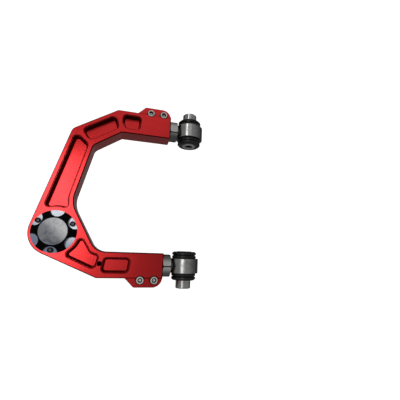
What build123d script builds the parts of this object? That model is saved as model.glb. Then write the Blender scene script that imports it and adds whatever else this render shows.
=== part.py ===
from build123d import *
import os
from math import asin, atan2, cos, hypot, pi, sin

# Adjustable upper control arm, left-hand side, all sizes in millimetres.
# Origin: on the pivot axis, midway between the two bushings.
# +X inboard, -X towards the ball joint, +Y forward (the long limb), +Z up.

# ---- driving dimensions ---------------------------------------------------------------
bush_spread = 262.0            # bushing centre to bushing centre, along the pivot axis
pivot_bolt = 14.0              # bolt that passes through each bush sleeve

arm_thickness = 37.0
ball_x, ball_y = -224.5, -79.0
ball_end_radius = 39.6         # round end of the arm, about the ball joint
limb_end_x = -41.0             # machined end faces that the jam nuts lock against
limb_inner, limb_outer = 109.5, 153.5
edge_chamfer = 1.6

pocket_depth = 12.5
pocket_draft = 14.0            # degrees
pocket_floor_radius = 1.0
pocket_mouth_bevel = 1.1

ear_reach = 169.3              # how far each clamp ear stands from the arm's centre line
ear_thickness = 27.0
ear_end_radius = 17.0
clamp_slit = 2.0
pinch_x = (-80.0, -55.5)
pinch_y = 156.5
pinch_dia, pinch_head_dia, pinch_head_height = 8.0, 13.0, 8.0

shank_dia = 24.0
shank_length = 42.0            # screwed into the limb at the shortest setting
nut_flats, nut_thickness = 38.1, 14.0
bracket_hole = (-149.0, -129.5)
bracket_hole_dia, bracket_hole_depth = 6.8, 14.0

eye_dia, eye_bore, eye_length = 53.0, 41.0, 26.0
flange_dia = 45.5              # rubber flanges outside the eye
sleeve_dia = 27.5
sleeve_inner_end, sleeve_outer_end = 26.5, 40.5    # from the bushing's centre

cap_dia, cap_disc_dia = 70.5, 44.5
cap_seat_z, cap_rim_z, cap_top_z = 15.0, 20.0, 27.0
scallop_radius, scallop_count, scallop_start = 10.8, 6, 26.5
scallop_floor_z = 19.0
screw_ring_radius = 30.5
screw_dia, screw_head_dia = 5.0, 8.5

ball_dia, ball_z = 32.0, -2.0
race_dia = 40.0
housing_dia, housing_flange_dia = 48.0, 52.0
housing_bottom_z = -25.0
neck_dia = 14.0
taper_dia, taper_end_dia = 18.4, 15.7
taper_top_z, taper_end_z, stud_end_z = -48.0, -70.0, -97.0
stud_thread = 14.0
cotter_z = -86.0
boot_dia, boot_neck_z = 60.0, -59.0

gap = 0.05                     # radial clearance of every round fit

# ---- worked out ------------------------------------------------------------------------
half = arm_thickness / 2
bush_y = bush_spread / 2
boot_top_z = -half - 0.4
joint_place = Pos(ball_x, ball_y, 0)


# ---- shape helpers ---------------------------------------------------------------------
def rounded(points):
    """Closed outline from (x, y) or (x, y, corner radius) points."""
    face = make_face(Polyline(*[p[:2] for p in points], close=True))
    for x, y, radius in [p for p in points if len(p) == 3]:
        face = fillet(face.vertices().sort_by_distance((x, y, 0))[0], radius)
    return face


def turned(points):
    """Solid of revolution about Z from (radius, height[, corner radius]) points."""
    return revolve(Rot(90, 0, 0) * rounded(points), Axis.Z)


def rod(start, end, radius):
    """Round bar between two points."""
    a, b = Vector(*start), Vector(*end)
    return Plane(a, z_dir=(b - a)) * Cylinder(radius, (b - a).length, align=(Align.CENTER, Align.CENTER, Align.MIN))


def drum(radius, low, high):
    """Cylinder about Z between two heights."""
    return Pos(0, 0, low) * Cylinder(radius, high - low, align=(Align.CENTER, Align.CENTER, Align.MIN))


def hexagon(flats, low, high):
    """Hexagonal bar about Z between two heights."""
    face = RegularPolygon(flats / 2, 6, major_radius=False)
    return Pos(0, 0, low) * extrude(face, high - low)


def around(solid, count, start=0.0):
    """Copies of a solid spaced evenly about Z."""
    return [Rot(0, 0, start + 360 * i / count) * solid for i in range(count)]


def mirrored_y(solid):
    return mirror(solid, Plane.XZ)


def socket_screw(dia, head_dia, head_height, length, socket_flats):
    """Socket-head cap screw with the head seated on z = 0."""
    body = drum(head_dia / 2, 0, head_height) + drum(dia / 2, -length, 0)
    body = chamfer(body.edges().group_by(Axis.Z)[-1], head_height * 0.08)
    body = chamfer(body.edges().group_by(Axis.Z)[0], dia * 0.1)
    return body - hexagon(socket_flats, head_height / 2, head_height + 1)


# ---- arm body --------------------------------------------------------------------------
def tangent_corner(a, b, centre, radius):
    """Corner where the lines from a and b that graze a circle's far side meet."""
    def heading(p, side):
        dx, dy = centre[0] - p[0], centre[1] - p[1]
        return atan2(dy, dx) + side * asin(radius / hypot(dx, dy))
    u, v = heading(a, -1), heading(b, 1)
    reach = ((b[0] - a[0]) * sin(v) - (b[1] - a[1]) * cos(v)) / sin(v - u)
    return a[0] + reach * cos(u), a[1] + reach * sin(u)


def arm_outline():
    shoulder, heel = (-216.2, 105.3), (-152.5, -limb_outer)
    end = tangent_corner(shoulder, heel, (ball_x, ball_y), ball_end_radius)
    return rounded([
        (limb_end_x, limb_inner), (limb_end_x, limb_outer), (-141, limb_outer, 8),
        (*shoulder, 14), (*end, ball_end_radius), (*heel, 12),
        (limb_end_x, -limb_outer), (limb_end_x, -limb_inner),
        (-157.2, -limb_inner, 28), (-203, -28.5, 42), (-178.4, 77.6, 14), (-131.5, limb_inner, 6),
    ])


def pocket_outlines():
    """The five pockets cut in each face; two of them follow the ball joint's round end."""
    def ring(radius):
        return Pos(ball_x, ball_y) * Circle(radius)
    long_limb = rounded([(-186.5, 79.5, 8), (-202.5, 93, 7), (-212, 93, 7), (-245, -35), (-245, -60),
                         (-205, -60), (-208.5, -18, 30)])
    diagonal = rounded([(-137, 117.5, 8), (-144, 142, 8), (-200.5, 106, 7.5), (-185.5, 86.5, 8)])
    front = rounded([(-97.5, 145.5, 7), (-131.5, 145.5, 7), (-131.5, 130, 8), (-124.5, 118.5, 7), (-99.5, 118.5, 7)])
    fan = rounded([(-182.5, -82), (-165, -110.5, 8), (-150.5, -115.5, 6.5), (-155.5, -140.5, 8), (-209.5, -116.5)])
    rear = rounded([(-98, -119, 7), (-101.5, -144.5, 7), (-147, -144.5, 7), (-143, -119, 7)])
    follow_end = [long_limb - ring(42), fan - ring(39)]
    softened = [offset(offset(face, -6.5, kind=Kind.INTERSECTION), 6.5) for face in follow_end]
    return softened + [diagonal, front, rear]


def pocket_tool(outline):
    """Tapered pocket with a radiused floor and a bevelled mouth, opening at the top face."""
    cut = extrude(Pos(0, 0, half) * outline, -pocket_depth, taper=pocket_draft)
    cut = fillet(cut.edges().group_by(Axis.Z)[0], pocket_floor_radius)
    mouth = Pos(0, 0, half + 0.01) * offset(outline, pocket_mouth_bevel)
    return cut + extrude(mouth, -pocket_mouth_bevel, taper=45)


def clamp_ear():
    """Thinner ear outside the front limb, split so that the pinch bolts squeeze the shank."""
    top_x = -90.5
    foot_x = top_x - (ear_reach - limb_outer)
    ear = Pos(0, 0, -ear_thickness / 2) * extrude(rounded([
        (limb_end_x, limb_outer - 20), (limb_end_x, ear_reach, ear_end_radius), (top_x, ear_reach, 4),
        (foot_x, limb_outer), (foot_x, limb_outer - 20),
    ]), ear_thickness)
    return chamfer(ear.edges().group_by(Axis.Z)[0] + ear.edges().group_by(Axis.Z)[-1], 0.7)


def limb_cuts():
    """Threaded bore, clamp slit and pinch-bolt holes of the front limb."""
    depth = shank_length + 7
    bore = Pos(limb_end_x - depth, bush_y, 0) * Rot(0, 90, 0) * (
        drum(shank_dia / 2 + gap, 0, depth + 1) + Pos(0, 0, depth) * Cone(shank_dia / 2, shank_dia / 2 + 2, 2))
    slit = Pos(limb_end_x - 30, bush_y + 20, 0) * Box(62, 40, clamp_slit)
    seat = ear_thickness / 2 - 3.5
    cuts = bore + slit
    for x in pinch_x:
        cuts += Pos(x, pinch_y, 0) * (drum(pinch_head_dia / 2 + 1.1, seat, half + 1)
                                      + drum(pinch_dia / 2 + gap, -half, half))
    return cuts


def arm_body():
    plate = Pos(0, 0, -half) * extrude(arm_outline(), arm_thickness)
    plate = chamfer(plate.edges().group_by(Axis.Z)[0] + plate.edges().group_by(Axis.Z)[-1], edge_chamfer)
    plate += clamp_ear() + mirrored_y(clamp_ear())
    for outline in pocket_outlines():
        tool = pocket_tool(outline)
        plate -= tool
        plate -= mirror(tool, Plane.XY)
    plate -= limb_cuts()
    plate -= mirrored_y(limb_cuts())
    seat = (drum(housing_dia / 2 + gap, -half - 1, half + 1) + drum(housing_flange_dia / 2 + gap, 10, half + 1)
            + drum(cap_dia / 2 + 0.3, cap_seat_z, half + 1))
    plate -= joint_place * seat
    for hole in around(Pos(screw_ring_radius, 0, 0) * drum(screw_dia / 2 + gap, 4, half), 3, scallop_start):
        plate -= joint_place * hole
    tapped = drum(bracket_hole_dia / 2, half - bracket_hole_depth, half + 1)
    mouth = Pos(0, 0, half - 0.4) * Cone(bracket_hole_dia / 2, bracket_hole_dia / 2 + 0.8, 0.8)
    return plate - Pos(*bracket_hole, 0) * (tapped + mouth)


# ---- adjusters, shown for the front limb --------------------------------------------------
def jam_nut(turn):
    """Jam nut, tightened at some angle about its own axis."""
    nut = hexagon(nut_flats, 0, nut_thickness)
    corner = nut_flats / 2 / cos(pi / 6)
    nut &= turned([(0, 0), (corner - 2, 0), (corner, 1.2), (corner, nut_thickness - 1.2),
                   (corner - 2, nut_thickness), (0, nut_thickness)])
    nut -= drum(shank_dia / 2 + gap, -1, nut_thickness + 1)
    return Pos(limb_end_x, bush_y, 0) * Rot(turn, 0, 0) * Rot(0, 90, 0) * nut


def pinch_bolts():
    screw = socket_screw(pinch_dia - 2 * gap, pinch_head_dia, pinch_head_height, 22, 6)
    return [Pos(x, pinch_y, ear_thickness / 2 - 3.5) * screw for x in pinch_x]


def rod_end():
    """Bushing eye with its threaded shank, turned and milled from one forging."""
    eye = Rot(-90, 0, 0) * turned([(0, -eye_length / 2), (eye_dia / 2, -eye_length / 2, 1),
                                   (eye_dia / 2, eye_length / 2, 1), (0, eye_length / 2)])
    shank_end = limb_end_x - shank_length
    hub = shank_length + nut_thickness + 0.3
    shank = Pos(shank_end, 0, 0) * Rot(0, 90, 0) * turned([
        (0, 0), (shank_dia / 2 - 1.5, 0), (shank_dia / 2, 1.5), (shank_dia / 2, hub),
        (13.2, hub + 0.8), (13.2, hub + 16), (0, hub + 16)])
    body = eye + shank - Rot(90, 0, 0) * drum(eye_bore / 2, -eye_length, eye_length)
    return Pos(0, bush_y, 0) * body


def bush_half(direction):
    """Rubber half-bush: a spigot in the eye and a two-lobed flange; direction +1 faces forward."""
    outer, lip = flange_dia / 2, sleeve_dia / 2 + gap
    start = eye_length / 2
    profile = rounded([
        (lip, 0.1), (eye_bore / 2 - gap, 0.1), (eye_bore / 2 - gap, start + 0.1), (outer - 1.2, start + 0.1),
        (outer, start + 2.5, 1.2), (outer - 0.6, start + 4.8, 0.8), (outer - 3.2, start + 6, 0.6),
        (outer - 0.4, start + 7.2, 0.8), (outer, start + 10, 1.2), (outer - 3, start + 12.8, 1.5),
        (lip + 1.5, start + 12.8), (lip, start + 12)])
    half_bush = revolve(Rot(90, 0, 0) * profile, Axis.Z)
    return Pos(0, bush_y, 0) * Rot(-90 * direction, 0, 0) * half_bush


def sleeve():
    r, bore = sleeve_dia / 2, pivot_bolt / 2
    tube = turned([(bore, -sleeve_inner_end + 1), (bore + 1, -sleeve_inner_end), (r - 1, -sleeve_inner_end),
                   (r, -sleeve_inner_end + 1), (r, sleeve_outer_end - 1), (r - 1, sleeve_outer_end),
                   (bore + 1, sleeve_outer_end), (bore, sleeve_outer_end - 1)])
    return Pos(0, bush_y, 0) * Rot(-90, 0, 0) * tube


# ---- ball joint ------------------------------------------------------------------------
def ball_joint_cap():
    """Bolted cap: flat disc, sloping rim and six scallops, hollow above the upper race."""
    rim, disc = cap_dia / 2, cap_disc_dia / 2
    cap = turned([(0, cap_top_z - 3.5), (20.3, cap_top_z - 6), (20.3, cap_seat_z), (rim, cap_seat_z),
                  (rim, cap_rim_z - 0.8), (rim - 0.8, cap_rim_z), (disc + 1.6, cap_top_z - 2.4),
                  (disc + 0.2, cap_top_z - 1.6), (disc, cap_top_z - 0.6), (disc - 0.6, cap_top_z), (0, cap_top_z)])
    cap -= turned([(21.6, cap_seat_z - 1), (21.6, cap_seat_z + 2.2), (24.6, cap_seat_z + 2.2), (24.6, cap_seat_z - 1)])
    for cut in around(Pos(rim, 0, 0) * drum(scallop_radius, scallop_floor_z, cap_top_z), scallop_count, scallop_start):
        cap -= cut
    for hole in around(Pos(screw_ring_radius, 0, 0) * drum(screw_dia / 2 + gap, cap_seat_z - 1, 22), 3, scallop_start):
        cap -= hole
    return joint_place * cap


def cap_screws():
    screw = socket_screw(screw_dia - 2 * gap, screw_head_dia, 4.6, 14, 4)
    return [joint_place * s
            for s in around(Pos(screw_ring_radius, 0, scallop_floor_z) * screw, 3, scallop_start)]


def cap_o_ring():
    return joint_place * Pos(0, 0, 16.05) * Torus(23.1, 1.1)


def ball_housing():
    """Steel cup clamped under the cap; its lip holds the races and carries the boot."""
    r, inner = housing_dia / 2, race_dia / 2 + gap
    return joint_place * turned([
        (inner, 14.9), (housing_flange_dia / 2, 14.9), (housing_flange_dia / 2, 10.05), (r, 10.05),
        (r, housing_bottom_z + 1), (r - 1, housing_bottom_z), (21.2, housing_bottom_z), (14.2, -13.5), (inner, -13.5)])


def ball_cavity():
    return Pos(0, 0, ball_z) * Sphere(ball_dia / 2 + gap)


def upper_race():
    r = race_dia / 2
    blank = turned([(6, ball_z + 0.1), (r, ball_z + 0.1), (r, 16, 1), (6, 16)])
    return joint_place * (blank - ball_cavity())


def lower_race():
    """Seat below the ball's middle, open enough for the stud to swing."""
    r = race_dia / 2
    blank = turned([(10, ball_z - 0.1), (r, ball_z - 0.1), (r, -13.4), (13.6, -13.4), (12.4, ball_z - 9), (10, ball_z - 9)])
    return joint_place * (blank - ball_cavity())


def preload_spring():
    """Disc spring between the upper race and the cap."""
    return joint_place * turned([(8, 18.6), (19.2, 16.1), (19.2, 18.1), (8, 20.6)])


def ball_stud():
    ball = Sphere(ball_dia / 2) - drum(ball_dia, 13.5, 20) - drum(4, 8, 20)
    r, top = neck_dia / 2, taper_dia / 2
    shank = turned([(0, 0), (r, 0), (r, -26.5, 6), (top, -31.5), (top, taper_top_z), (taper_end_dia / 2, taper_end_z),
                    (stud_thread / 2, taper_end_z), (stud_thread / 2, stud_end_z + 1.5),
                    (stud_thread / 2 - 1.5, stud_end_z), (0, stud_end_z)])
    cotter_hole = Pos(0, 0, cotter_z) * Rot(90, 0, 0) * Cylinder(1.75, 20)
    return joint_place * (Pos(0, 0, ball_z) * ball + shank - cotter_hole)


def dust_boot():
    """Hollow rubber bell: collar on the housing, two ring grooves, domed shoulder, neck on the taper."""
    r, seat, neck = boot_dia / 2, housing_dia / 2 + gap, taper_dia / 2 + 0.1
    low, wall = boot_neck_z, 2.4
    return joint_place * turned([
        (seat, boot_top_z), (r - 0.8, boot_top_z, 0.8), (r, boot_top_z - 2.2, 1), (r - 2, boot_top_z - 3.2, 0.6),
        (r - 2, boot_top_z - 5.4, 0.6), (r, boot_top_z - 6.4, 1), (r, boot_top_z - 8.2, 0.8),
        (r - 1.3, boot_top_z - 9.4, 0.8), (r + 0.3, boot_top_z - 11.4, 1.5), (r, low + 14, 12),
        (13, low + 6, 0.8), (12.6, low + 4, 0.4), (11.6, low + 3.4), (11.6, low + 1.6), (12.6, low + 1, 0.4),
        (12.4, low, 0.4), (neck, low), (neck, low + 6), (12, low + 8, 1), (r - wall, low + 16, 9), (r - wall, boot_top_z - 8.5, 2),
        (seat, boot_top_z - 7.5)])


def boot_base_ring():
    return joint_place * Pos(0, 0, boot_top_z - 4.3) * Torus(boot_dia / 2 - 0.9, 0.9)


def boot_neck_ring():
    return joint_place * Pos(0, 0, boot_neck_z + 2.5) * Torus(12.6, 0.8)


def castle_nut():
    """Flanged hexagon nut with a slotted crown, its flange towards the arm."""
    flange_z, hex_end, crown_end = taper_end_z, -82.5, -89.0
    flats = 22.0
    nut = turned([(0, flange_z), (12.6, flange_z), (13, flange_z - 0.4), (13, flange_z - 1.6),
                  (11.6, flange_z - 2.6), (0, flange_z - 2.6)])
    corner = flats / 2 / cos(pi / 6)
    nut += hexagon(flats, hex_end, flange_z - 2) & turned([
        (0, flange_z - 2), (corner, flange_z - 2), (corner, hex_end + 0.9), (corner - 1.6, hex_end), (0, hex_end)])
    nut += turned([(0, hex_end + 1), (9.8, hex_end + 1), (9.8, crown_end + 0.6), (9.2, crown_end), (0, crown_end)])
    nut -= drum(stud_thread / 2 + gap, crown_end - 1, flange_z + 1)
    for turn in (0, 60, 120):
        nut -= Pos(0, 0, crown_end) * Rot(0, 0, turn) * Box(3.8, 30, 2 * (hex_end - crown_end))
    return joint_place * nut


def cotter_pin():
    """Split pin through the crown: round eye in front, two legs spread behind."""
    wire, side = 0.72, 0.8
    eye = Rot(0, 90, 0) * Torus(2.4, wire)
    pin = Pos(0, 13.6, 0) * eye
    for z, tip in ((side, (9.5, -22.0, 2.0)), (-side, (3.0, -27.0, -2.5))):
        bend = (0, -12.0, z)
        pin += rod((0, 11.8, z), bend, wire) + Pos(*bend) * Sphere(wire) + rod(bend, tip, wire)
    return joint_place * Pos(0, 0, cotter_z) * pin


# ---- every piece ---------------------------------------------------------------------------
parts = {
    "arm_body": arm_body(),
    "ball_joint_cap": ball_joint_cap(),
    "cap_screws": cap_screws(),
    "cap_o_ring": cap_o_ring(),
    "ball_housing": ball_housing(),
    "upper_race": upper_race(),
    "lower_race": lower_race(),
    "preload_spring": preload_spring(),
    "ball_stud": ball_stud(),
    "dust_boot": dust_boot(),
    "boot_base_ring": boot_base_ring(),
    "boot_neck_ring": boot_neck_ring(),
    "castle_nut": castle_nut(),
    "cotter_pin": cotter_pin(),
    "front_jam_nut": jam_nut(21),
    "rear_jam_nut": mirrored_y(jam_nut(-3)),
    "front_pinch_bolts": pinch_bolts(),
    "front_rod_end": rod_end(),
    "front_bush_inner_half": bush_half(-1),
    "front_bush_outer_half": bush_half(1),
    "front_sleeve": sleeve(),
}
for name, solid in list(parts.items()):
    if name.startswith("front_") and name.replace("front_", "rear_") not in parts:
        twin = [mirrored_y(s) for s in solid] if isinstance(solid, list) else mirrored_y(solid)
        parts[name.replace("front_", "rear_")] = twin

os.makedirs("parts", exist_ok=True)
for name, solid in parts.items():
    shape = Compound(children=solid) if isinstance(solid, list) else solid
    export_step(shape, f"parts/{name}.step")
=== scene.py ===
"""Looks of the adjustable control arm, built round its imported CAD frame. Metres, +Z up."""

from math import cos, pi, radians, sin, tan, tau

import bmesh
import bpy
from mathutils import Euler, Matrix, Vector


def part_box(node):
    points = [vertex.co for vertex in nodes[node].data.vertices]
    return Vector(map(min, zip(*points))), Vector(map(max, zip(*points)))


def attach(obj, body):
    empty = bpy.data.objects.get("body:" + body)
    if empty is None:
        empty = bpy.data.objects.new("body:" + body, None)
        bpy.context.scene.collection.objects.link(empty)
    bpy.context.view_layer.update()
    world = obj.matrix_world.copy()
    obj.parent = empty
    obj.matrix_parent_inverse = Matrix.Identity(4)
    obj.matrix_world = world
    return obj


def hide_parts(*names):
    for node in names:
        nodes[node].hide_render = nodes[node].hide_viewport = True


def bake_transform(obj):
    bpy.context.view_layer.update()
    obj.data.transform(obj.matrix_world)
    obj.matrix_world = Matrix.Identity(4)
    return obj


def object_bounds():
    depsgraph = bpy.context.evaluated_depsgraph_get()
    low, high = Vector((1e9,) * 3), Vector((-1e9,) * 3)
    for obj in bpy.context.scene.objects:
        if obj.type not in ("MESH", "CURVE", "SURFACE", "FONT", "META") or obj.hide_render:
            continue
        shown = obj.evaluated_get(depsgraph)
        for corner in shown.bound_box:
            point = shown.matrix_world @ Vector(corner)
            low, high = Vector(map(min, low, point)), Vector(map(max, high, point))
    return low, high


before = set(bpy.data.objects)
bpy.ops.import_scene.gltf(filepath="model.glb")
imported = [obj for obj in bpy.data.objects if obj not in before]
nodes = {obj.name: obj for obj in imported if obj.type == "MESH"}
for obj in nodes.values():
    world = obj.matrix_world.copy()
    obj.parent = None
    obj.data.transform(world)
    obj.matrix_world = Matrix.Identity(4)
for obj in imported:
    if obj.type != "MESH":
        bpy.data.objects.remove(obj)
cad_low, cad_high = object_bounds()
MM = 0.001


def middle(node):
    low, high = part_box(node)
    return (low + high) / 2


# The vertical axis through the ball joint, and the adjusters' axes.
joint = middle("ball_joint_cap")
joint.z = 0.0
front_axis, rear_axis = middle("front_rod_end"), middle("rear_rod_end")


# ---- material building -------------------------------------------------------------------
class Paint:
    """One procedural material on a Principled shader, with patterns in the shared frame."""

    def __init__(self, name, **values):
        self.material = bpy.data.materials.new(name)
        self.material.use_nodes = True
        self.tree = self.material.node_tree
        self.tree.nodes.clear()
        output = self.add("OutputMaterial")
        self.shader = self.add("BsdfPrincipled")
        self.join(self.shader.outputs["BSDF"], output.inputs["Surface"])
        for socket, value in values.items():
            self.shader.inputs[socket.replace("_", " ")].default_value = value
        coordinates = self.add("TexCoord")
        self.place = coordinates.outputs["Object"]
        self.facing = coordinates.outputs["Normal"]

    def add(self, kind, **settings):
        node = self.tree.nodes.new("ShaderNode" + kind)
        for key, value in settings.items():
            setattr(node, key, value)
        return node

    def join(self, value, socket):
        if isinstance(value, bpy.types.NodeSocket):
            self.tree.links.new(value, socket)
        else:
            socket.default_value = value

    def math(self, operation, a, b=0.0):
        node = self.add("Math", operation=operation)
        self.join(a, node.inputs[0])
        self.join(b, node.inputs[1])
        return node.outputs[0]

    def vector(self, operation, a, b=(0, 0, 0)):
        node = self.add("VectorMath", operation=operation)
        self.join(a, node.inputs[0])
        self.join(b, node.inputs[1])
        return node.outputs["Value" if operation == "LENGTH" else "Vector"]

    def split(self, vector):
        node = self.add("SeparateXYZ")
        self.join(vector, node.inputs[0])
        return node.outputs

    def flat_distance(self, centre):
        """Distance from the vertical line through a point."""
        away = self.vector("SUBTRACT", self.place, centre)
        return self.vector("LENGTH", self.vector("MULTIPLY", away, (1, 1, 0)))

    def turned_to(self, axis):
        """How far the surface faces along one axis, either way: 0 beside it, 1 square on."""
        return self.math("ABSOLUTE", self.split(self.facing)["xyz".index(axis)])

    def span(self, value, low, high, to_low=0.0, to_high=1.0):
        """A smooth step: to_low up to low, to_high from high on."""
        node = self.add("MapRange", interpolation_type="SMOOTHSTEP")
        for socket, v in zip(node.inputs, (value, low, high, to_low, to_high)):
            self.join(v, socket)
        return node.outputs[0]

    def within(self, value, near, far, full=1.0):
        """Full up to near, and nothing from far on."""
        return self.span(value, near, far, full, 0.0)

    def band(self, value, rise, fall):
        """1 between two smooth steps, each given by its two ends."""
        return self.math("MULTIPLY", self.span(value, *rise), self.within(value, *fall))

    def noise(self, scale, detail=2.0, stretch=(1, 1, 1), distortion=0.0):
        node = self.add("TexNoise")
        self.join(self.vector("MULTIPLY", self.place, stretch), node.inputs["Vector"])
        node.inputs["Scale"].default_value = scale
        node.inputs["Detail"].default_value = detail
        node.inputs["Distortion"].default_value = distortion
        return node.outputs["Fac"]

    def mix(self, factor, a, b):
        node = self.add("Mix", data_type="RGBA")
        self.join(factor, node.inputs["Factor"])
        for value, socket in ((a, node.inputs[6]), (b, node.inputs[7])):
            self.join(value if isinstance(value, bpy.types.NodeSocket) else (*value, 1.0), socket)
        return node.outputs[2]

    def level(self, factor, a, b):
        """A number that goes from a to b."""
        return self.span(factor, 0.0, 1.0, a, b)

    def bump(self, height, strength, depth, normal=None):
        node = self.add("Bump")
        node.inputs["Strength"].default_value = strength
        node.inputs["Distance"].default_value = depth
        self.join(height, node.inputs["Height"])
        if normal is not None:
            self.join(normal, node.inputs["Normal"])
        return node.outputs[0]

    def set(self, **sockets):
        for socket, value in sockets.items():
            self.join(value, self.shader.inputs[socket.replace("_", " ")])
        return self.material


def heads(node):
    """Centres of a two-screw node, from its box and its head size."""
    low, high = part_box(node)
    r = (high.y - low.y) / 2
    y = (low.y + high.y) / 2
    return [(low.x + r, y, 0), (high.x - r, y, 0)]


# Painted shade: the arm's small hole down to its floor, and the seats of its clamp screws, are painted
# dark.
BRACKET_HOLE, HOLE_EDGE = (-149 * MM, -129.5 * MM, 0), (3.9 * MM, 4.2 * MM)
HOLE_FLOOR = (-12 * MM, -11 * MM)
SEAT_EDGE = (7.9 * MM, 8.3 * MM)
screw_seats = heads("front_pinch_bolts") + heads("rear_pinch_bolts")
# The red is pinker in the photo toward the ball, so a painted highlight turns it pink there: over these
# spans the plain red takes over.
HIGHLIGHT_X, HIGHLIGHT_Y = (-235 * MM, -150 * MM), (20 * MM, 85 * MM)
# Vertical part of the normal on the drafted pocket walls and on the bevels round the pockets, where painted
# shade goes.
DRAFT, BEVEL = ((0.14, 0.20), (0.30, 0.55)), ((0.60, 0.68), (0.73, 0.80))


def red_anodised():
    """Red-dyed anodised billet: blasted grain and slow dye clouds.

    The pocket walls and bevels carry painted shade, nearly black, as dark as they look in the photo. A
    painted highlight turns the red pinker toward the ball, and the bracket hole and the clamp screws' seats
    are painted dark as shade.
    """
    red, bright_red, speck = (0.82, 0.006, 0.009), (0.92, 0.009, 0.012), (0.62, 0.004, 0.006)
    highlight_pink, bright_highlight_pink = (0.93, 0.024, 0.028), (0.96, 0.032, 0.038)
    shade, worn, black = (0.028, 0.002, 0.003), (0.80, 0.16, 0.15), (0.012, 0.004, 0.004)
    full_coat, worn_share, seat_share = 0.8, 0.03, 0.9
    p = Paint("red_anodised", Metallic=1.0, Coat_Roughness=0.2, Coat_IOR=1.5)
    x, y, z = p.split(p.place)
    cloud = p.noise(16, detail=3)
    grain = p.noise(2600)
    colour = p.mix(p.span(cloud, 0.3, 0.7), red, bright_red)
    colour = p.mix(p.span(grain, 0.35, 0.75, 0.0, 0.35), colour, speck)
    # Painted highlight: a pinker red toward the ball.
    painted_highlight = p.math("MULTIPLY", p.within(x, *HIGHLIGHT_X), p.within(y, *HIGHLIGHT_Y))
    colour = p.mix(painted_highlight, colour, p.mix(p.span(cloud, 0.3, 0.7), highlight_pink, bright_highlight_pink))
    # Painted shade: the drafted pocket walls and the bevels are darkened nearly to black.
    upright = p.turned_to("z")
    drafted, bevelled = p.band(upright, *DRAFT), p.band(upright, *BEVEL)
    shaded = p.math("MAXIMUM", p.math("MULTIPLY", drafted, 0.93), p.math("MULTIPLY", bevelled, 0.92))
    colour = p.mix(shaded, colour, shade)
    rubbed = p.math("MULTIPLY", bevelled, p.span(p.noise(420, detail=4), 0.55, 0.72))
    colour = p.mix(p.math("MULTIPLY", rubbed, worn_share), colour, worn)
    # Painted shade: the bracket hole and the clamp screws' seats are painted black.
    in_hole = p.within(p.flat_distance(BRACKET_HOLE), *HOLE_EDGE)
    dark = p.math("MULTIPLY", in_hole, p.span(z, *HOLE_FLOOR))
    for centre in screw_seats:
        seat = p.within(p.flat_distance(centre), *SEAT_EDGE)
        dark = p.math("MAXIMUM", dark, p.math("MULTIPLY", seat, seat_share))
    colour = p.mix(dark, colour, black)
    smears = p.span(p.noise(60, detail=4, stretch=(1, 2.5, 1), distortion=0.6), 0.35, 0.75)
    rough = p.math("ADD", p.level(smears, 0.18, 0.22), p.math("MULTIPLY", grain, 0.04))
    rough = p.math("ADD", rough, p.math("MULTIPLY", drafted, 0.25))
    uncoated = p.math("MAXIMUM", p.math("MULTIPLY", shaded, full_coat), p.math("MULTIPLY", dark, full_coat))
    coat = p.math("SUBTRACT", full_coat, uncoated)
    normal = p.bump(grain, 0.25, 0.06 * MM)
    normal = p.bump(p.noise(420, detail=3), 0.12, 0.08 * MM, normal)
    return p.set(Base_Color=colour, Roughness=rough, Coat_Weight=coat, Normal=normal)


# Along the adjusters' axes: the rod ends' necks, and the sides of the eyes, where painted shade goes.
NECK, NECK_EDGE, EYE_SIDE = (-28 * MM, -22 * MM), 0.6 * MM, (0.0, 18 * MM)


def turned_steel(name, axis, light, dark, roughness=0.3, shaded_eye=False, painted_end_highlight=None):
    """Machined steel: fine turning lines that run round one axis, stains and small scratches.

    A shaded eye has painted shade on its neck and on its side away from the arm, as in the photo.
    """
    p = Paint(name, Metallic=1.0)
    across = tuple(1.0 if a == axis else 0.02 for a in "xyz")
    lines = p.noise(5200, stretch=across)
    wide_lines = p.noise(900, stretch=across)
    stain = p.noise(90, detail=4, distortion=0.8)
    colour = p.mix(p.span(stain, 0.3, 0.75), light, dark)
    colour = p.mix(p.span(lines, 0.4, 0.75, 0.0, 0.4), colour, tuple(0.55 * c for c in dark))
    if shaded_eye:
        x = p.split(p.place)[0]
        start, end = NECK
        # Painted shade on the eye's side away from the arm and on its neck.
        colour = p.mix(p.span(x, *EYE_SIDE, 0.0, 0.75), colour, (0.10, 0.10, 0.10))
        neck = p.band(x, (start - NECK_EDGE, start), (end - NECK_EDGE, end))
        colour = p.mix(p.math("MULTIPLY", neck, 0.85), colour, (0.03, 0.03, 0.032))
    # Painted highlight: faces square to the axis are painted near white.
    if painted_end_highlight is not None:
        colour = p.mix(p.span(p.turned_to(axis), 0.85, 0.95), colour, painted_end_highlight)
    stained = p.level(p.span(stain, 0.3, 0.7), roughness, roughness + 0.04)
    rough = p.math("ADD", stained, p.math("MULTIPLY", wide_lines, 0.06))
    normal = p.bump(lines, 0.22, 0.05 * MM)
    normal = p.bump(p.noise(1500, detail=3), 0.08, 0.05 * MM, normal)
    return p.set(Base_Color=colour, Roughness=rough, Normal=normal)


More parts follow.
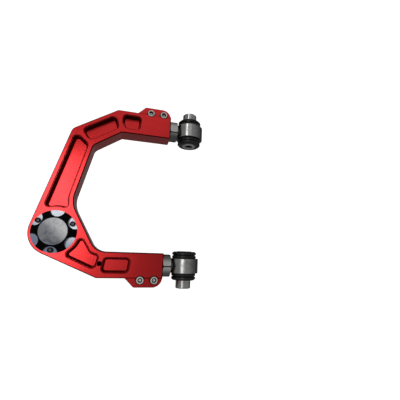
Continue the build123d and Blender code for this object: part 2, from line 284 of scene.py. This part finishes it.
def nut_steel(name, axis_y, first_corner):
    """Jam nut: bright crown, with painted shade on its flanks, ends and corner lines, as in the photo."""
    bright, stained = (0.97, 0.97, 0.95), (0.86, 0.86, 0.84)
    flank_shade, corner_shade, end_shade = (0.10, 0.10, 0.10), (0.01, 0.01, 0.01), (0.02, 0.02, 0.02)
    p = Paint(name, Metallic=1.0)
    _, y, z = p.split(p.place)
    across = p.math("SUBTRACT", y, axis_y)
    turn = p.math("SUBTRACT", p.math("ARCTAN2", z, across), first_corner)
    sixth = p.math("DIVIDE", turn, pi / 3)
    from_corner = p.math("ABSOLUTE", p.math("SUBTRACT", sixth, p.math("ROUND", sixth)))
    stain = p.noise(140, detail=3)
    colour = p.mix(p.span(stain, 0.3, 0.7), bright, stained)
    # Painted shade on the flanks, the corner lines and the ends; the crown stays bright.
    flank = p.span(p.math("ABSOLUTE", across), 4 * MM, 15 * MM)
    colour = p.mix(p.math("MULTIPLY", flank, 0.86), colour, flank_shade)
    colour = p.mix(p.within(from_corner, 0.035, 0.07, 0.92), colour, corner_shade)
    ends = p.span(p.turned_to("x"), 0.2, 0.5)
    colour = p.mix(p.math("MULTIPLY", ends, 0.9), colour, end_shade)
    normal = p.bump(p.noise(2400, stretch=(0.1, 1, 1)), 0.2, 0.04 * MM)
    rough = p.level(p.span(stain, 0.3, 0.7), 0.34, 0.42)
    return p.set(Base_Color=colour, Roughness=rough, Normal=normal)


def screw_steel(name, light, dark, roughness, centres, painted_sockets):
    """Turned screw heads: rings about each screw's own axis, painted shade on the heads' sides, and inner
    zones of painted light and shade in the sockets.
    """
    rings_per_metre, painted_socket_edge = 16000, 0.25 * MM
    p = Paint(name, Metallic=1.0)
    radius = p.flat_distance(centres[0])
    for centre in centres[1:]:
        radius = p.math("MINIMUM", radius, p.flat_distance(centre))
    rings = p.math("SINE", p.math("MULTIPLY", radius, rings_per_metre))
    stain = p.noise(700, detail=3)
    colour = p.mix(p.span(stain, 0.35, 0.7), light, dark)
    # Painted shade: faces that don't look up are darkened.
    level_face = p.span(p.turned_to("z"), 0.5, 0.8)
    colour = p.mix(p.math("SUBTRACT", 1.0, level_face), colour, tuple(0.12 * c for c in dark))
    # Painted light and shade in the sockets: rings of given colour about each screw's axis.
    for reach, shade in painted_sockets:
        inside = p.within(radius, reach - painted_socket_edge, reach + painted_socket_edge)
        colour = p.mix(inside, colour, shade)
    rough = p.level(p.span(stain, 0.3, 0.7), roughness, roughness + 0.1)
    normal = p.bump(rings, 0.35, 0.06 * MM)
    normal = p.bump(p.noise(2600), 0.15, 0.04 * MM, normal)
    return p.set(Base_Color=colour, Roughness=rough, Normal=normal)


def plated_steel(name, light, dark, roughness):
    """Bright zinc plate with a faint spangle and dulled patches."""
    p = Paint(name, Metallic=1.0)
    patch = p.noise(160, detail=4, distortion=0.5)
    spangle = p.noise(1800)
    colour = p.mix(p.span(patch, 0.35, 0.7), light, dark)
    dulled = p.level(p.span(patch, 0.3, 0.7), roughness, roughness + 0.14)
    rough = p.math("ADD", dulled, p.math("MULTIPLY", spangle, 0.06))
    normal = p.bump(spangle, 0.2, 0.05 * MM)
    return p.set(Base_Color=colour, Roughness=rough, Normal=normal)


def rubber(name, shade, roughness, grain_depth, dust=0.35):
    """Moulded rubber: pebbled skin, mould-release sheen and a little dust."""
    p = Paint(name, Metallic=0.0, Specular_IOR_Level=0.6)
    skin = p.noise(1900, detail=3)
    bloom = p.noise(70, detail=4, distortion=0.4)
    black = (shade, shade, shade)
    dusty = (shade * 3 + 0.01, shade * 3 + 0.01, shade * 3 + 0.012)
    colour = p.mix(p.span(bloom, 0.4, 0.8, 0.0, dust), black, dusty)
    sheen = p.level(p.span(bloom, 0.3, 0.75), roughness, roughness + 0.14)
    rough = p.math("ADD", sheen, p.math("MULTIPLY", skin, 0.08))
    normal = p.bump(skin, 0.3, grain_depth)
    return p.set(Base_Color=colour, Roughness=rough, Normal=normal)


def wire():
    """Black drawn wire with streaks of wear."""
    p = Paint("black_wire", Metallic=1.0)
    drawn = p.noise(1500, detail=3)
    colour = p.mix(p.span(drawn, 0.35, 0.7), (0.05, 0.05, 0.052), (0.12, 0.115, 0.11))
    normal = p.bump(drawn, 0.25, 0.04 * MM)
    return p.set(Base_Color=colour, Roughness=p.level(drawn, 0.3, 0.5), Normal=normal)


def polymer():
    """Cream race polymer with flow marks."""
    p = Paint("race_polymer", Metallic=0.0)
    flow = p.noise(220, detail=3, distortion=0.6)
    colour = p.mix(p.span(flow, 0.3, 0.7), (0.76, 0.73, 0.64), (0.68, 0.65, 0.56))
    normal = p.bump(p.noise(2400), 0.1, 0.04 * MM)
    return p.set(Base_Color=colour, Roughness=p.level(flow, 0.35, 0.5), Normal=normal)


# The cap is black all over except its disc and its six scallops, which are bare metal.
CAP_RIM, CAP_DISC, SCALLOP = 35.25 * MM, 22.25 * MM, 10.8 * MM
SCALLOP_START, SCALLOP_FLOOR = radians(26.5), 19.0 * MM
CAP_SCREW_CIRCLE = 30.5 * MM


def cap_finish():
    """Black cap with a bare disc and scallops; the disc has a painted highlight on one side and round its
    rim, and the scallops painted light at one end and painted shade at the other, as in the photo.
    """
    dark_metal, grey_metal, lit_metal = (0.12, 0.13, 0.16), (0.34, 0.35, 0.375), (0.78, 0.79, 0.80)
    rim_highlight, brushed = (0.62, 0.63, 0.66), (0.12, 0.12, 0.13)
    shaded_seat, lit_seat, seat_cloud = (0.12, 0.145, 0.22), (0.82, 0.88, 0.94), (0.30, 0.33, 0.40)
    p = Paint("cap_black_and_bare", Metallic=1.0)
    x, y, z = p.split(p.vector("SUBTRACT", p.place, joint))
    radius = p.flat_distance(joint)
    turn = p.math("DIVIDE", p.math("SUBTRACT", p.math("ARCTAN2", y, x), SCALLOP_START), pi / 3)
    folded = p.math("MULTIPLY", p.math("SUBTRACT", turn, p.math("ROUND", turn)), pi / 3)
    across = p.math("MULTIPLY", radius, p.math("SINE", folded))
    outward = p.math("SUBTRACT", p.math("MULTIPLY", radius, p.math("COSINE", folded)), CAP_RIM)
    squares = p.math("ADD", p.math("MULTIPLY", across, across), p.math("MULTIPLY", outward, outward))
    from_scallop = p.math("SQRT", squares)
    in_scallop = p.math("MULTIPLY", p.within(from_scallop, SCALLOP + 0.05 * MM, SCALLOP + 0.2 * MM),
                        p.span(z, SCALLOP_FLOOR - 0.3 * MM, SCALLOP_FLOOR - 0.1 * MM))
    on_disc = p.within(radius, CAP_DISC - 0.1 * MM, CAP_DISC + 0.25 * MM)
    bare = p.math("MAXIMUM", in_scallop, on_disc)
    cloud = p.noise(75, detail=3, distortion=0.9)
    brush = p.noise(3200, stretch=(1, 0.05, 1))
    # Painted highlight on the disc, strongest toward +x and +y.
    lit = p.span(p.math("ADD", x, y), -14 * MM, 22 * MM)
    metal = p.mix(p.span(cloud, 0.32, 0.7), dark_metal, grey_metal)
    metal = p.mix(p.math("MULTIPLY", lit, p.span(cloud, 0.25, 0.6, 0.45, 1.0)), metal, lit_metal)
    # Painted highlight: a light band round the edge of the disc.
    rim_highlight_band = p.math("MULTIPLY", p.span(radius, CAP_DISC - 1.0 * MM, CAP_DISC - 0.6 * MM), on_disc)
    metal = p.mix(p.math("MULTIPLY", rim_highlight_band, 0.6), metal, rim_highlight)
    # Painted light on the scallops toward +y and +x, painted shade on those opposite.
    high = p.span(p.math("ADD", p.math("MULTIPLY", x, 0.6), y), -26 * MM, 22 * MM)
    seat = p.mix(p.span(cloud, 0.3, 0.7, 0.0, 0.35), p.mix(high, shaded_seat, lit_seat), seat_cloud)
    metal = p.mix(in_scallop, metal, seat)
    metal = p.mix(p.span(brush, 0.4, 0.75, 0.0, 0.3), metal, brushed)
    black = p.mix(p.span(p.noise(300, detail=3), 0.35, 0.7), (0.004, 0.004, 0.005), (0.012, 0.012, 0.013))
    rough = p.math("ADD", p.level(on_disc, 0.34, 0.50), p.math("MULTIPLY", p.span(cloud, 0.3, 0.7), 0.10))
    normal = p.bump(brush, 0.2, 0.05 * MM)
    normal = p.bump(p.noise(2400), 0.12, 0.04 * MM, normal)
    return p.set(Base_Color=p.mix(bare, black, metal), Roughness=rough, Normal=normal)


def put(material, *names):
    for name in names:
        slots = nodes[name].data.materials
        slots.clear()
        slots.append(material)


def both(name):
    return f"front_{name}", f"rear_{name}"


def cap_screw_centres():
    angles = [SCALLOP_START + i * tau / 3 for i in range(3)]
    return [(joint.x + CAP_SCREW_CIRCLE * cos(a), joint.y + CAP_SCREW_CIRCLE * sin(a), 0) for a in angles]


put(red_anodised(), "arm_body")
put(cap_finish(), "ball_joint_cap")
# Painted light and shade in the cap screws' sockets: a reach from the axis and its colour.
cap_socket_light_and_shade = [(2.1 * MM, (0.22, 0.23, 0.24)), (0.8 * MM, (0.02, 0.02, 0.02))]
put(screw_steel("dark_screw", (0.010, 0.010, 0.011), (0.022, 0.022, 0.023), 0.28,
                cap_screw_centres(), cap_socket_light_and_shade), "cap_screws")
# Painted shade and a painted reflection in the clamp screws' sockets: a reach from the axis and its colour.
clamp_socket_light_and_shade = [(4.3 * MM, (0.02, 0.018, 0.017)), (2.5 * MM, (0.97, 0.95, 0.90))]
for side in ("front", "rear"):
    put(screw_steel(f"stainless_{side}", (0.98, 0.96, 0.91), (0.86, 0.83, 0.77), 0.46,
                    heads(f"{side}_pinch_bolts"), clamp_socket_light_and_shade), f"{side}_pinch_bolts")
put(turned_steel("eye_steel", "y", (0.70, 0.70, 0.69), (0.50, 0.50, 0.495), 0.17, shaded_eye=True),
    *both("rod_end"))
for side, axis, corner in (("front", front_axis, radians(51)), ("rear", rear_axis, radians(33))):
    put(nut_steel(f"nut_steel_{side}", axis.y, corner), f"{side}_jam_nut")
# The sleeves' end faces carry a painted highlight.
put(turned_steel("sleeve_steel", "y", (0.68, 0.68, 0.67), (0.50, 0.50, 0.50), 0.15,
                 painted_end_highlight=(0.95, 0.95, 0.94)), *both("sleeve"))
put(turned_steel("housing_steel", "z", (0.30, 0.30, 0.305), (0.18, 0.18, 0.185), 0.32), "ball_housing")
put(turned_steel("ball_steel", "z", (0.66, 0.66, 0.66), (0.50, 0.50, 0.50), 0.16), "ball_stud")
put(turned_steel("spring_steel", "z", (0.25, 0.26, 0.30), (0.17, 0.17, 0.20), 0.30), "preload_spring")
put(plated_steel("zinc_plate", (0.66, 0.65, 0.62), (0.46, 0.45, 0.43), 0.22), "castle_nut")
put(rubber("bush_rubber", 0.006, 0.20, 0.08 * MM, dust=0.15),
    *both("bush_inner_half"), *both("bush_outer_half"))
boot_skin = rubber("boot_rubber", 0.006, 0.20, 0.06 * MM)
put(boot_skin, "dust_boot")
put(rubber("seal_rubber", 0.012, 0.35, 0.05 * MM), "cap_o_ring")
put(wire(), "cotter_pin", "boot_base_ring", "boot_neck_ring")
put(polymer(), "upper_race", "lower_race")


# ---- meshes made here ---------------------------------------------------------------------
def keep_mesh(name, vertices, faces, material, sharp=radians(38)):
    mesh = bpy.data.meshes.new(name)
    mesh.from_pydata(vertices, [], faces)
    bm = bmesh.new()
    bm.from_mesh(mesh)
    bmesh.ops.recalc_face_normals(bm, faces=bm.faces)
    for face in bm.faces:
        face.smooth = True
    for edge in bm.edges:
        if len(edge.link_faces) == 2 and edge.calc_face_angle() > sharp:
            edge.smooth = False
    bm.to_mesh(mesh)
    bm.free()
    mesh.materials.append(material)
    piece = bpy.data.objects.new(name, mesh)
    bpy.context.scene.collection.objects.link(piece)
    return piece


def softened(points, step=radians(9)):
    """Closed profile from (radius, height[, corner radius]) points, each corner an arc."""
    line = []
    for i, point in enumerate(points):
        here = Vector(point[:2])
        if len(point) == 2:
            line.append(here)
            continue
        back = (Vector(points[i - 1][:2]) - here).normalized()
        ahead = (Vector(points[(i + 1) % len(points)][:2]) - here).normalized()
        opening = back.angle(ahead)
        reach = point[2] / tan(opening / 2)
        centre = here + (back + ahead).normalized() * (point[2] / sin(opening / 2))
        start, end = here + back * reach - centre, here + ahead * reach - centre
        sweep = start.angle_signed(end)
        count = max(2, int(abs(sweep) / step) + 1)
        for k in range(count + 1):
            a = -sweep * k / count
            turned = start.x * cos(a) - start.y * sin(a), start.x * sin(a) + start.y * cos(a)
            line.append(centre + Vector(turned))
    return line


def cut_profile(line, height, above):
    """The part of a closed profile on one side of a level."""
    kept = []
    for i, here in enumerate(line):
        after = line[(i + 1) % len(line)]
        if (here.y > height) == above:
            kept.append(here)
        if (here.y > height) != (after.y > height):
            kept.append(here.lerp(after, (height - here.y) / (after.y - here.y)))
    return kept


def lathe(name, line, axis, material, around=144):
    """Closed ring of that profile, in millimetres, about the vertical through axis."""
    n = len(line)
    vertices = []
    for k in range(around):
        a = tau * k / around
        vertices += [(axis.x + p.x * MM * cos(a), axis.y + p.x * MM * sin(a), p.y * MM) for p in line]
    faces = [
        (k * n + i, k * n + (i + 1) % n, (k + 1) % around * n + (i + 1) % n, (k + 1) % around * n + i)
        for k in range(around) for i in range(n)
    ]
    return keep_mesh(name, vertices, faces, material)


def thread(name, start, along, length, root, crest, pitch, material, steps=40):
    """Screw thread wound on a shaft: one closed ridge whose ends run out."""
    along = Vector(along).normalized()
    side = along.orthogonal().normalized()
    other = along.cross(side)
    turns = length / pitch
    count = int(turns * steps)
    sunk = root - 0.25 * MM
    vertices, faces = [], []
    for i in range(count + 1):
        a = tau * turns * i / count
        grown = min(1.0, 3 * turns * i / count, 3 * turns * (count - i) / count)
        out = side * cos(a) + other * sin(a)
        centre = Vector(start) + along * (length * i / count)
        tip = root + (crest - root) * max(grown, 0.02)
        # The ridge's section: shares of the pitch along the shaft, and radii.
        section = [(-0.46, sunk), (-0.40, root), (-0.07, tip), (0.07, tip), (0.40, root), (0.46, sunk)]
        vertices += [centre + along * (shift * pitch) + out * radius for shift, radius in section]
    m = len(section)
    for i in range(count):
        for j in range(m):
            a, b = i * m + j, i * m + (j + 1) % m
            faces.append((a, b, b + m, a + m))
    faces.append(tuple(range(m)))
    faces.append(tuple(count * m + j for j in reversed(range(m))))
    return keep_mesh(name, vertices, faces, material, sharp=radians(60))


# Dust boot: the CAD bell again, in two closed halves.
BOOT_TOP, BOOT_LOW, BOOT_R, BOOT_SEAM = -18.9, -59.0, 30.0, -43.0
BOOT_MOUTH, NECK_R, NECK_GROOVE, NECK_BORE = 24.05, 12.6, 11.6, 9.3
boot_line = softened([
    (BOOT_MOUTH, BOOT_TOP), (BOOT_R - 0.8, BOOT_TOP, 0.8), (BOOT_R, BOOT_TOP - 2.2, 1.0),
    (BOOT_R - 2, BOOT_TOP - 3.2, 0.6), (BOOT_R - 2, BOOT_TOP - 5.4, 0.6), (BOOT_R, BOOT_TOP - 6.4, 1.0),
    (BOOT_R, BOOT_TOP - 8.2, 0.8), (BOOT_R - 1.3, BOOT_TOP - 9.4, 0.8),
    (BOOT_R + 0.3, BOOT_TOP - 11.4, 1.5), (BOOT_R + 0.2, BOOT_LOW + 22),
    (BOOT_R, BOOT_LOW + 14, 7.5), (13, BOOT_LOW + 6, 0.8),
    (NECK_R, BOOT_LOW + 4, 0.4), (NECK_GROOVE, BOOT_LOW + 3.4), (NECK_GROOVE, BOOT_LOW + 1.6),
    (NECK_R, BOOT_LOW + 1, 0.4), (12.4, BOOT_LOW, 0.4), (NECK_BORE, BOOT_LOW), (NECK_BORE, BOOT_LOW + 6),
    (12, BOOT_LOW + 8, 1.0), (BOOT_R - 2.4, BOOT_LOW + 16, 6.0), (BOOT_R - 2.4, BOOT_TOP - 8.5, 2.0),
    (BOOT_MOUTH, BOOT_TOP - 7.5),
])
upper_boot = lathe("boot_upper_half", cut_profile(boot_line, BOOT_SEAM, True), joint, boot_skin)
lower_boot = lathe("boot_lower_half", cut_profile(boot_line, BOOT_SEAM, False), joint, boot_skin)
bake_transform(upper_boot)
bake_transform(lower_boot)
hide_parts("dust_boot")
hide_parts("dust_boot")

# Threads: where they start along their axis, their length, root and crest radius, and pitch.
SHANK_START, SHANK_LENGTH = -82 * MM, 54.5 * MM
SHANK_ROOT, SHANK_CREST, SHANK_PITCH = 12 * MM, 12.45 * MM, 2 * MM
STUD_START, STUD_LENGTH = -95 * MM, 24 * MM
STUD_ROOT, STUD_CREST, STUD_PITCH = 7 * MM, 7.35 * MM, 1.5 * MM
thread_steel = turned_steel("thread_steel", "x", (0.34, 0.34, 0.34), (0.20, 0.20, 0.20), 0.3)
for side, axis in (("front", front_axis), ("rear", rear_axis)):
    piece = thread(f"{side}_shank_thread", (SHANK_START, axis.y, 0), (1, 0, 0), SHANK_LENGTH,
                   SHANK_ROOT, SHANK_CREST, SHANK_PITCH, thread_steel)
    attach(piece, f"{side}_rod_end")
stud_thread = thread("stud_thread", (joint.x, joint.y, STUD_START), (0, 0, 1), STUD_LENGTH,
                     STUD_ROOT, STUD_CREST, STUD_PITCH,
                     turned_steel("stud_thread_steel", "z", (0.55, 0.55, 0.54), (0.38, 0.38, 0.37), 0.24))
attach(stud_thread, "ball_stud")


# ---- stage: floor, lights and camera ------------------------------------------------------
# The pivot is held up, so the floor lies below the stud end of the arm swung fully down.
FLOOR_DROP, FLOOR_REACH, FLOOR_GLOW = 100 * MM, 4.0, 0.84
SOFTBOX_HEIGHT = 1.25


def floor():
    """A pale floor that glows a little and is clear from below, for views of the underside."""
    reach, low = FLOOR_REACH, cad_low.z - FLOOR_DROP
    corners = [(-reach, -reach, low), (reach, -reach, low), (reach, reach, low), (-reach, reach, low)]
    mesh = bpy.data.meshes.new("floor")
    mesh.from_pydata(corners, [], [(0, 1, 2, 3)])
    piece = bpy.data.objects.new("floor", mesh)
    bpy.context.scene.collection.objects.link(piece)
    material = bpy.data.materials.new("floor")
    material.use_nodes = True
    tree = material.node_tree
    tree.nodes.clear()
    output = tree.nodes.new("ShaderNodeOutputMaterial")
    paint = tree.nodes.new("ShaderNodeBsdfPrincipled")
    paint.inputs["Base Color"].default_value = (0.9, 0.9, 0.9, 1)
    paint.inputs["Roughness"].default_value = 0.9
    paint.inputs["Emission Color"].default_value = (1, 1, 1, 1)
    paint.inputs["Emission Strength"].default_value = FLOOR_GLOW
    clear = tree.nodes.new("ShaderNodeBsdfTransparent")
    side = tree.nodes.new("ShaderNodeNewGeometry")
    choose = tree.nodes.new("ShaderNodeMixShader")
    tree.links.new(side.outputs["Backfacing"], choose.inputs[0])
    tree.links.new(paint.outputs[0], choose.inputs[1])
    tree.links.new(clear.outputs[0], choose.inputs[2])
    tree.links.new(choose.outputs[0], output.inputs[0])
    mesh.materials.append(material)
    piece.visible_glossy = False


def overhead_box(name, start, end, radiance):
    """A level softbox that faces down, over the rectangle from start to end."""
    width, depth = end[0] - start[0], end[1] - start[1]
    light = bpy.data.lights.new(name, "AREA")
    light.shape = "RECTANGLE"
    light.size, light.size_y = width, depth
    light.energy = radiance * pi * width * depth
    lamp = bpy.data.objects.new(name, light)
    lamp.location = (start[0] + end[0]) / 2, (start[1] + end[1]) / 2, SOFTBOX_HEIGHT
    lamp.visible_camera = False
    bpy.context.scene.collection.objects.link(lamp)


def surroundings(stops, seen):
    """Studio walls, grey by the height of the ray's direction; the camera itself sees plain pale."""
    world = bpy.data.worlds.new("studio")
    world.use_nodes = True
    tree = world.node_tree
    tree.nodes.clear()
    output = tree.nodes.new("ShaderNodeOutputWorld")
    direction = tree.nodes.new("ShaderNodeTexCoord")
    parts = tree.nodes.new("ShaderNodeSeparateXYZ")
    tree.links.new(direction.outputs["Generated"], parts.inputs[0])
    scale = tree.nodes.new("ShaderNodeMapRange")
    scale.inputs["From Min"].default_value = -1.0
    tree.links.new(parts.outputs[2], scale.inputs[0])
    ramp = tree.nodes.new("ShaderNodeValToRGB")
    tree.links.new(scale.outputs[0], ramp.inputs[0])
    for i, (height, shade) in enumerate(stops):
        element = ramp.color_ramp.elements[i] if i < 2 else ramp.color_ramp.elements.new(0.5)
        element.position = (height + 1) / 2
        element.color = (shade, shade, shade, 1)
    walls = tree.nodes.new("ShaderNodeBackground")
    tree.links.new(ramp.outputs[0], walls.inputs[0])
    pale = tree.nodes.new("ShaderNodeBackground")
    pale.inputs[0].default_value = (seen, seen, seen, 1)
    ray = tree.nodes.new("ShaderNodeLightPath")
    choose = tree.nodes.new("ShaderNodeMixShader")
    tree.links.new(ray.outputs["Is Camera Ray"], choose.inputs[0])
    tree.links.new(walls.outputs[0], choose.inputs[1])
    tree.links.new(pale.outputs[0], choose.inputs[2])
    tree.links.new(choose.outputs[0], output.inputs[0])
    bpy.context.scene.world = world


floor()
# Nadir and zenith come first, because the ramp starts with those two stops.
surroundings([(-1.0, 0.12), (1.0, 0.27), (-0.28, 0.06), (-0.12, 0.20), (0.18, 0.20), (0.42, 0.03),
              (0.6, 0.02), (0.89, 0.06), (0.96, 0.24)], 1.0)
overhead_box("key", (-0.64, -0.22), (-0.32, 0.47), 1.7)
overhead_box("key_core", (-0.66, -0.08), (-0.40, 0.36), 2.6)
overhead_box("rear_step", (-0.32, -0.32), (-0.08, -0.08), 0.35)
overhead_box("front_step", (-0.36, 0.56), (0.18, 0.92), 0.30)
overhead_box("eye_strip_front", (-0.90, 0.56), (-0.64, 1.15), 3.0)
overhead_box("eye_strip_rear", (-0.82, -0.70), (-0.50, -0.16), 1.3)

# The camera's place, turn in degrees and lens were fitted to the arm's outline in the photo.
CAMERA_PLACE = (-111.23 * MM, -104.33 * MM, 525.93 * MM)
CAMERA_TURN, CAMERA_LENS = (10.053, -15.14, 1.905), 24.992
camera = bpy.data.objects.new("camera", bpy.data.cameras.new("camera"))
camera.data.sensor_width = 36.0
camera.data.lens = CAMERA_LENS
camera.location = CAMERA_PLACE
camera.rotation_euler = Euler([radians(turn) for turn in CAMERA_TURN])
camera.data.clip_start, camera.data.clip_end = 0.01, 50
bpy.context.scene.collection.objects.link(camera)
bpy.context.scene.camera = camera
bpy.context.scene.view_settings.view_transform = "Standard"
